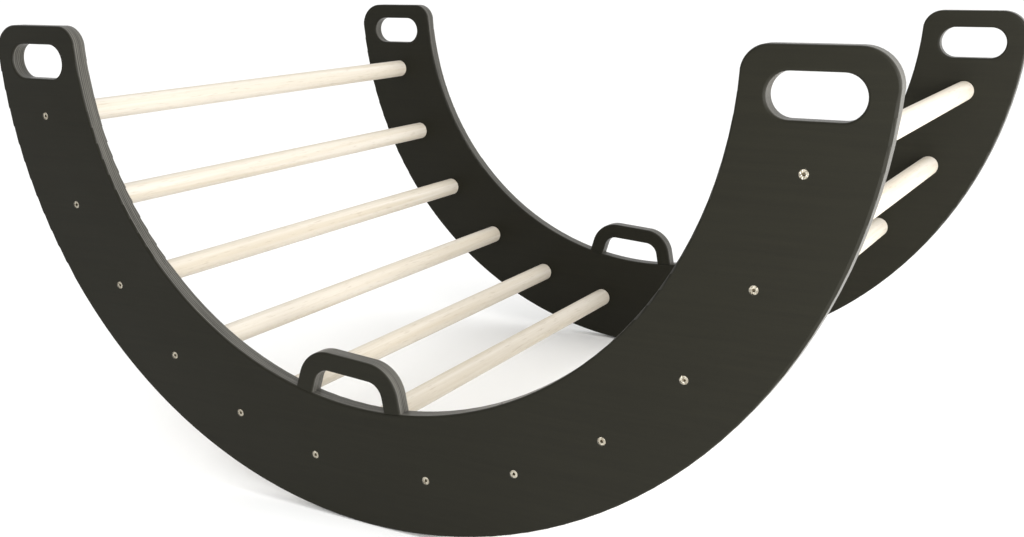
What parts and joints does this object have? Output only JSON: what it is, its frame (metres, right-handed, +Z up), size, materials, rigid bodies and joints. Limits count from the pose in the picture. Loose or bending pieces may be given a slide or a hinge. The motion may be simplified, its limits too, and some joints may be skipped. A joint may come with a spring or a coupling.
{
  "type": "climbing arch",
  "caption": "Rocking climbing arch for children: two half-ring side panels with hand slots and loop handles, joined by round rungs.",
  "frame": {"origin": "on the floor, under the middle of the arch, midway between the two side panels", "axes": "+X along the arch from its left tips to its right tips, +Y along the rungs from the near panel to the far one, +Z up; the arch lies as a rocker with its tips up, as pictured, and the loop handles stand nearer its left tips"},
  "size_m": [1.197, 0.85, 0.595],
  "materials": {
    "black_painted_plywood": "satin black paint",
    "birch_rung": "sanded, clear matt oil",
    "brass_screw": "bright, yellow passivated",
    "beech_dowel": "plain"
  },
  "bodies": {
    "root": {"near_side_panel": "black_painted_plywood", "far_side_panel": "black_painted_plywood", "rung_01": "birch_rung", "rung_02": "birch_rung", "rung_03": "birch_rung", "rung_04": "birch_rung", "rung_05": "birch_rung", "rung_06": "birch_rung", "rung_07": "birch_rung", "rung_08": "birch_rung", "rung_09": "birch_rung", "rung_10": "birch_rung", "rung_11": "birch_rung", "rung_12": "birch_rung", "near_handle": "black_painted_plywood", "far_handle": "black_painted_plywood", "near_handle_dowels": "beech_dowel", "far_handle_dowels": "beech_dowel", "near_rung_screws": "brass_screw", "far_rung_screws": "brass_screw"}
  },
  "joints": []
}
